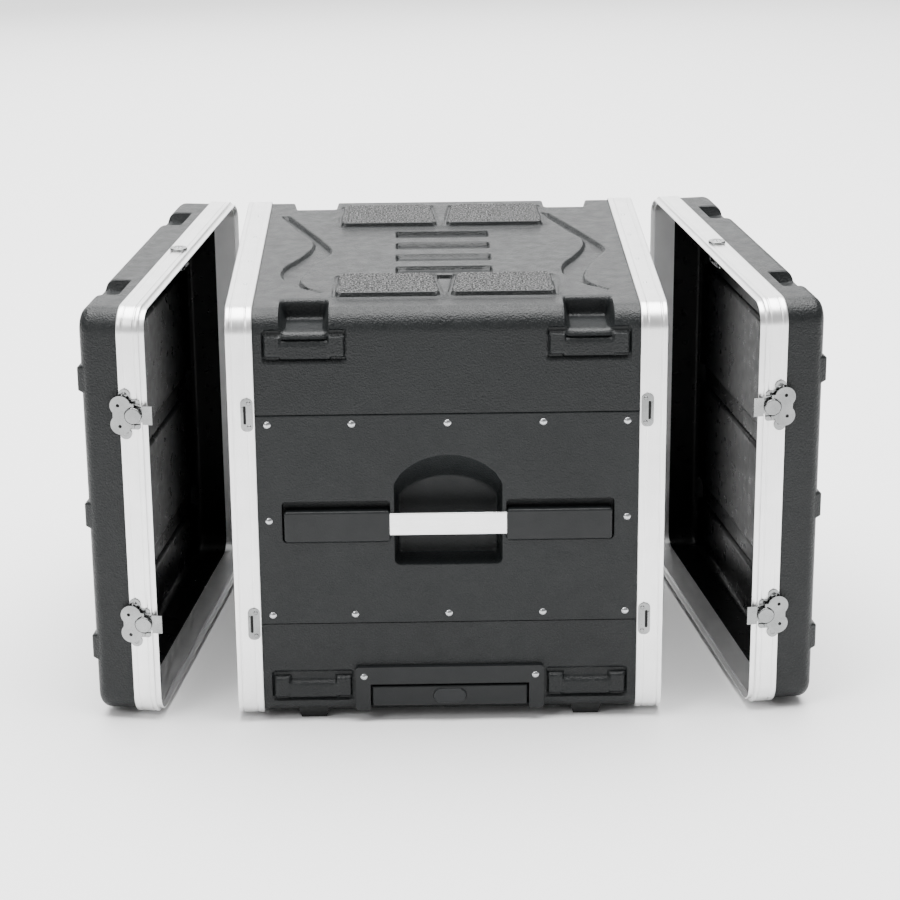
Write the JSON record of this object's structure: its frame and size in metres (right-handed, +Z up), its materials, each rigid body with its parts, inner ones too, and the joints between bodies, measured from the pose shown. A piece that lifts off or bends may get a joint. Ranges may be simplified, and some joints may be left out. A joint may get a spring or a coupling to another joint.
{
  "type": "equipment rack case",
  "caption": "Rolling shock-style case for rack equipment, with moulded shells, aluminium frames, lift-off covers, twist latches, rack rails, a pull-out tow handle and wheels.",
  "frame": {"origin": "centre of the whole assembly's box, on the floor", "axes": "+X from the front opening to the rear opening, +Y from the tow handle's side to the wheels' side, +Z up"},
  "size_m": [0.9114, 0.5932, 0.54],
  "materials": {
    "shell_plastic": "rotationally moulded, finely stippled",
    "panel_plastic": "finely stippled sheet",
    "frame_aluminium": "satin extrusion",
    "steel_fasteners": "satin zinc",
    "nickel": "satin nickel plate",
    "black_fasteners": "black oxide",
    "rail_steel": "black powder coat",
    "bar_aluminium": "finely brushed along its length",
    "moulded_black": "injection moulded, fine grain",
    "tube_aluminium": "satin anodised",
    "release_plastic": "fine grain",
    "wheel_plastic": "injection moulded",
    "tyre_rubber": "solid tread",
    "foot_rubber": "moulded"
  },
  "bodies": {
    "case": {"top_shell": "shell_plastic", "bottom_shell": "shell_plastic", "near_side_panel": "panel_plastic", "far_side_panel": "panel_plastic", "front_frame": "frame_aluminium", "rear_frame": "frame_aluminium", "case_rivets": "steel_fasteners", "latch_keepers": "nickel", "stacking_feet": "foot_rubber", "rack_rails": "rail_steel", "rail_screws": "steel_fasteners", "tow_housing": "moulded_black", "tow_housing_screws": "black_fasteners", "tow_guide_tubes": "rail_steel", "wheel_housings": "moulded_black", "wheel_axles": "steel_fasteners", "side_handle_bars": "bar_aluminium", "side_handle_end_covers": "moulded_black", "lock_catches": "steel_fasteners"},
    "tow_handle": {"tow_grip": "moulded_black", "tow_inner_tubes": "tube_aluminium"},
    "tow_release": {"tow_button": "release_plastic"},
    "left_wheel": {"left_wheel_hub": "wheel_plastic", "left_wheel_tyre": "tyre_rubber"},
    "right_wheel": {"right_wheel_hub": "wheel_plastic", "right_wheel_tyre": "tyre_rubber"},
    "front_cover": {"front_cover_shell": "shell_plastic", "front_cover_frame": "frame_aluminium", "front_latch_bases": "nickel", "front_cover_lock_body": "nickel"},
    "front_lock": {"front_cover_lock_cam": "steel_fasteners"},
    "front_near_upper_rotor": {"front_near_upper_latch_rotor": "nickel"},
    "front_near_upper_wing": {"front_near_upper_latch_wing": "nickel"},
    "front_near_upper_hook": {"front_near_upper_latch_hook": "nickel"},
    "front_near_lower_rotor": {"front_near_lower_latch_rotor": "nickel"},
    "front_near_lower_wing": {"front_near_lower_latch_wing": "nickel"},
    "front_near_lower_hook": {"front_near_lower_latch_hook": "nickel"},
    "front_far_upper_rotor": {"front_far_upper_latch_rotor": "nickel"},
    "front_far_upper_wing": {"front_far_upper_latch_wing": "nickel"},
    "front_far_upper_hook": {"front_far_upper_latch_hook": "nickel"},
    "front_far_lower_rotor": {"front_far_lower_latch_rotor": "nickel"},
    "front_far_lower_wing": {"front_far_lower_latch_wing": "nickel"},
    "front_far_lower_hook": {"front_far_lower_latch_hook": "nickel"},
    "rear_cover": {"rear_cover_shell": "shell_plastic", "rear_cover_frame": "frame_aluminium", "rear_latch_bases": "nickel", "rear_cover_lock_body": "nickel"},
    "rear_lock": {"rear_cover_lock_cam": "steel_fasteners"},
    "rear_far_upper_rotor": {"rear_far_upper_latch_rotor": "nickel"},
    "rear_far_upper_wing": {"rear_far_upper_latch_wing": "nickel"},
    "rear_far_upper_hook": {"rear_far_upper_latch_hook": "nickel"},
    "rear_far_lower_rotor": {"rear_far_lower_latch_rotor": "nickel"},
    "rear_far_lower_wing": {"rear_far_lower_latch_wing": "nickel"},
    "rear_far_lower_hook": {"rear_far_lower_latch_hook": "nickel"},
    "rear_near_upper_rotor": {"rear_near_upper_latch_rotor": "nickel"},
    "rear_near_upper_wing": {"rear_near_upper_latch_wing": "nickel"},
    "rear_near_upper_hook": {"rear_near_upper_latch_hook": "nickel"},
    "rear_near_lower_rotor": {"rear_near_lower_latch_rotor": "nickel"},
    "rear_near_lower_wing": {"rear_near_lower_latch_wing": "nickel"},
    "rear_near_lower_hook": {"rear_near_lower_latch_hook": "nickel"}
  },
  "joints": [
    {"name": "tow_handle_slide", "type": "slide", "parent": "case", "child": "tow_handle", "axis": [0, -1, 0], "range_m": [0, 0.38]},
    {"name": "tow_release_press", "type": "slide", "parent": "tow_handle", "child": "tow_release", "axis": [0, 1, 0], "range_m": [0, 0.0025], "stiffness_N_per_m": 800, "springref_m": -0.002},
    {"name": "left_wheel_spin", "type": "hinge", "parent": "case", "child": "left_wheel", "pos_m": [-0.22134, 0.2533, 0.034], "axis": [1, 0, 0], "continuous": true},
    {"name": "right_wheel_spin", "type": "hinge", "parent": "case", "child": "right_wheel", "pos_m": [0.20666, 0.2533, 0.034], "axis": [1, 0, 0], "continuous": true},
    {"name": "front_cover_close", "type": "hinge", "parent": "case", "child": "front_cover", "pos_m": [-0.27234, 0.4353, 0.005], "axis": [0, 0, 1], "range_deg": [0, 8.16]},
    {"name": "front_lock_turn", "type": "hinge", "parent": "front_cover", "child": "front_lock", "pos_m": [-0.34895, 0.00179, 0.537], "axis": [0, 0, -1], "range_deg": [0, 90]},
    {"name": "front_near_upper_turn", "type": "hinge", "parent": "front_cover", "child": "front_near_upper_rotor", "pos_m": [-0.38523, -0.28295, 0.4075], "axis": [-0.1419, -0.9899, 0], "range_deg": [0, 180]},
    {"name": "front_near_upper_wing_lift", "type": "hinge", "parent": "front_near_upper_rotor", "child": "front_near_upper_wing", "pos_m": [-0.38608, -0.28889, 0.4075], "axis": [0, 0, 1], "range_deg": [0, 95]},
    {"name": "front_near_upper_hook_slide", "type": "slide", "parent": "front_cover", "child": "front_near_upper_hook", "axis": [0.9899, -0.1419, 0], "range_m": [0, 0.008]},
    {"name": "front_near_lower_turn", "type": "hinge", "parent": "front_cover", "child": "front_near_lower_rotor", "pos_m": [-0.38523, -0.28295, 0.135], "axis": [-0.1419, -0.9899, 0], "range_deg": [0, 180]},
    {"name": "front_near_lower_wing_lift", "type": "hinge", "parent": "front_near_lower_rotor", "child": "front_near_lower_wing", "pos_m": [-0.38608, -0.28889, 0.135], "axis": [0, 0, 1], "range_deg": [0, 95]},
    {"name": "front_near_lower_hook_slide", "type": "slide", "parent": "front_cover", "child": "front_near_lower_hook", "axis": [0.9899, -0.1419, 0], "range_m": [0, 0.008]},
    {"name": "front_far_upper_turn", "type": "hinge", "parent": "front_cover", "child": "front_far_upper_rotor", "pos_m": [-0.30376, 0.28524, 0.4075], "axis": [0.1419, 0.9899, 0], "range_deg": [0, 180]},
    {"name": "front_far_upper_wing_lift", "type": "hinge", "parent": "front_far_upper_rotor", "child": "front_far_upper_wing", "pos_m": [-0.3029, 0.29118, 0.4075], "axis": [0, 0, -1], "range_deg": [0, 95]},
    {"name": "front_far_upper_hook_slide", "type": "slide", "parent": "front_cover", "child": "front_far_upper_hook", "axis": [0.9899, -0.1419, 0], "range_m": [0, 0.008]},
    {"name": "front_far_lower_turn", "type": "hinge", "parent": "front_cover", "child": "front_far_lower_rotor", "pos_m": [-0.30376, 0.28524, 0.135], "axis": [0.1419, 0.9899, 0], "range_deg": [0, 180]},
    {"name": "front_far_lower_wing_lift", "type": "hinge", "parent": "front_far_lower_rotor", "child": "front_far_lower_wing", "pos_m": [-0.3029, 0.29118, 0.135], "axis": [0, 0, -1], "range_deg": [0, 95]},
    {"name": "front_far_lower_hook_slide", "type": "slide", "parent": "front_cover", "child": "front_far_lower_hook", "axis": [0.9899, -0.1419, 0], "range_m": [0, 0.008]},
    {"name": "rear_cover_close", "type": "hinge", "parent": "case", "child": "rear_cover", "pos_m": [0.25766, 0.5223, 0.005], "axis": [0, 0, -1], "range_deg": [0, 8.33]},
    {"name": "rear_lock_turn", "type": "hinge", "parent": "rear_cover", "child": "rear_lock", "pos_m": [0.34816, 0.00293, 0.537], "axis": [0, 0, -1], "range_deg": [0, 90]},
    {"name": "rear_far_upper_turn", "type": "hinge", "parent": "rear_cover", "child": "rear_far_upper_rotor", "pos_m": [0.30213, 0.28625, 0.4075], "axis": [-0.1449, 0.9895, 0], "range_deg": [0, 180]},
    {"name": "rear_far_upper_wing_lift", "type": "hinge", "parent": "rear_far_upper_rotor", "child": "rear_far_upper_wing", "pos_m": [0.30126, 0.29219, 0.4075], "axis": [0, 0, 1], "range_deg": [0, 95]},
    {"name": "rear_far_upper_hook_slide", "type": "slide", "parent": "rear_cover", "child": "rear_far_upper_hook", "axis": [-0.9895, -0.1449, 0], "range_m": [0, 0.008]},
    {"name": "rear_far_lower_turn", "type": "hinge", "parent": "rear_cover", "child": "rear_far_lower_rotor", "pos_m": [0.30213, 0.28625, 0.135], "axis": [-0.1449, 0.9895, 0], "range_deg": [0, 180]},
    {"name": "rear_far_lower_wing_lift", "type": "hinge", "parent": "rear_far_lower_rotor", "child": "rear_far_lower_wing", "pos_m": [0.30126, 0.29219, 0.135], "axis": [0, 0, 1], "range_deg": [0, 95]},
    {"name": "rear_far_lower_hook_slide", "type": "slide", "parent": "rear_cover", "child": "rear_far_lower_hook", "axis": [-0.9895, -0.1449, 0], "range_m": [0, 0.008]},
    {"name": "rear_near_upper_turn", "type": "hinge", "parent": "rear_cover", "child": "rear_near_upper_rotor", "pos_m": [0.38529, -0.28169, 0.4075], "axis": [0.1449, -0.9895, 0], "range_deg": [0, 180]},
    {"name": "rear_near_upper_wing_lift", "type": "hinge", "parent": "rear_near_upper_rotor", "child": "rear_near_upper_wing", "pos_m": [0.38616, -0.28763, 0.4075], "axis": [0, 0, -1], "range_deg": [0, 95]},
    {"name": "rear_near_upper_hook_slide", "type": "slide", "parent": "rear_cover", "child": "rear_near_upper_hook", "axis": [-0.9895, -0.1449, 0], "range_m": [0, 0.008]},
    {"name": "rear_near_lower_turn", "type": "hinge", "parent": "rear_cover", "child": "rear_near_lower_rotor", "pos_m": [0.38529, -0.28169, 0.135], "axis": [0.1449, -0.9895, 0], "range_deg": [0, 180]},
    {"name": "rear_near_lower_wing_lift", "type": "hinge", "parent": "rear_near_lower_rotor", "child": "rear_near_lower_wing", "pos_m": [0.38616, -0.28763, 0.135], "axis": [0, 0, -1], "range_deg": [0, 95]},
    {"name": "rear_near_lower_hook_slide", "type": "slide", "parent": "rear_cover", "child": "rear_near_lower_hook", "axis": [-0.9895, -0.1449, 0], "range_m": [0, 0.008]}
  ],
  "couplings": [
    {"joint": "front_near_upper_hook_slide", "follows": "front_near_upper_turn", "m_per_rad": 0.0025},
    {"joint": "front_near_lower_hook_slide", "follows": "front_near_lower_turn", "m_per_rad": 0.0025},
    {"joint": "front_far_upper_hook_slide", "follows": "front_far_upper_turn", "m_per_rad": 0.0025},
    {"joint": "front_far_lower_hook_slide", "follows": "front_far_lower_turn", "m_per_rad": 0.0025},
    {"joint": "rear_far_upper_hook_slide", "follows": "rear_far_upper_turn", "m_per_rad": 0.0025},
    {"joint": "rear_far_lower_hook_slide", "follows": "rear_far_lower_turn", "m_per_rad": 0.0025},
    {"joint": "rear_near_upper_hook_slide", "follows": "rear_near_upper_turn", "m_per_rad": 0.0025},
    {"joint": "rear_near_lower_hook_slide", "follows": "rear_near_lower_turn", "m_per_rad": 0.0025}
  ]
}
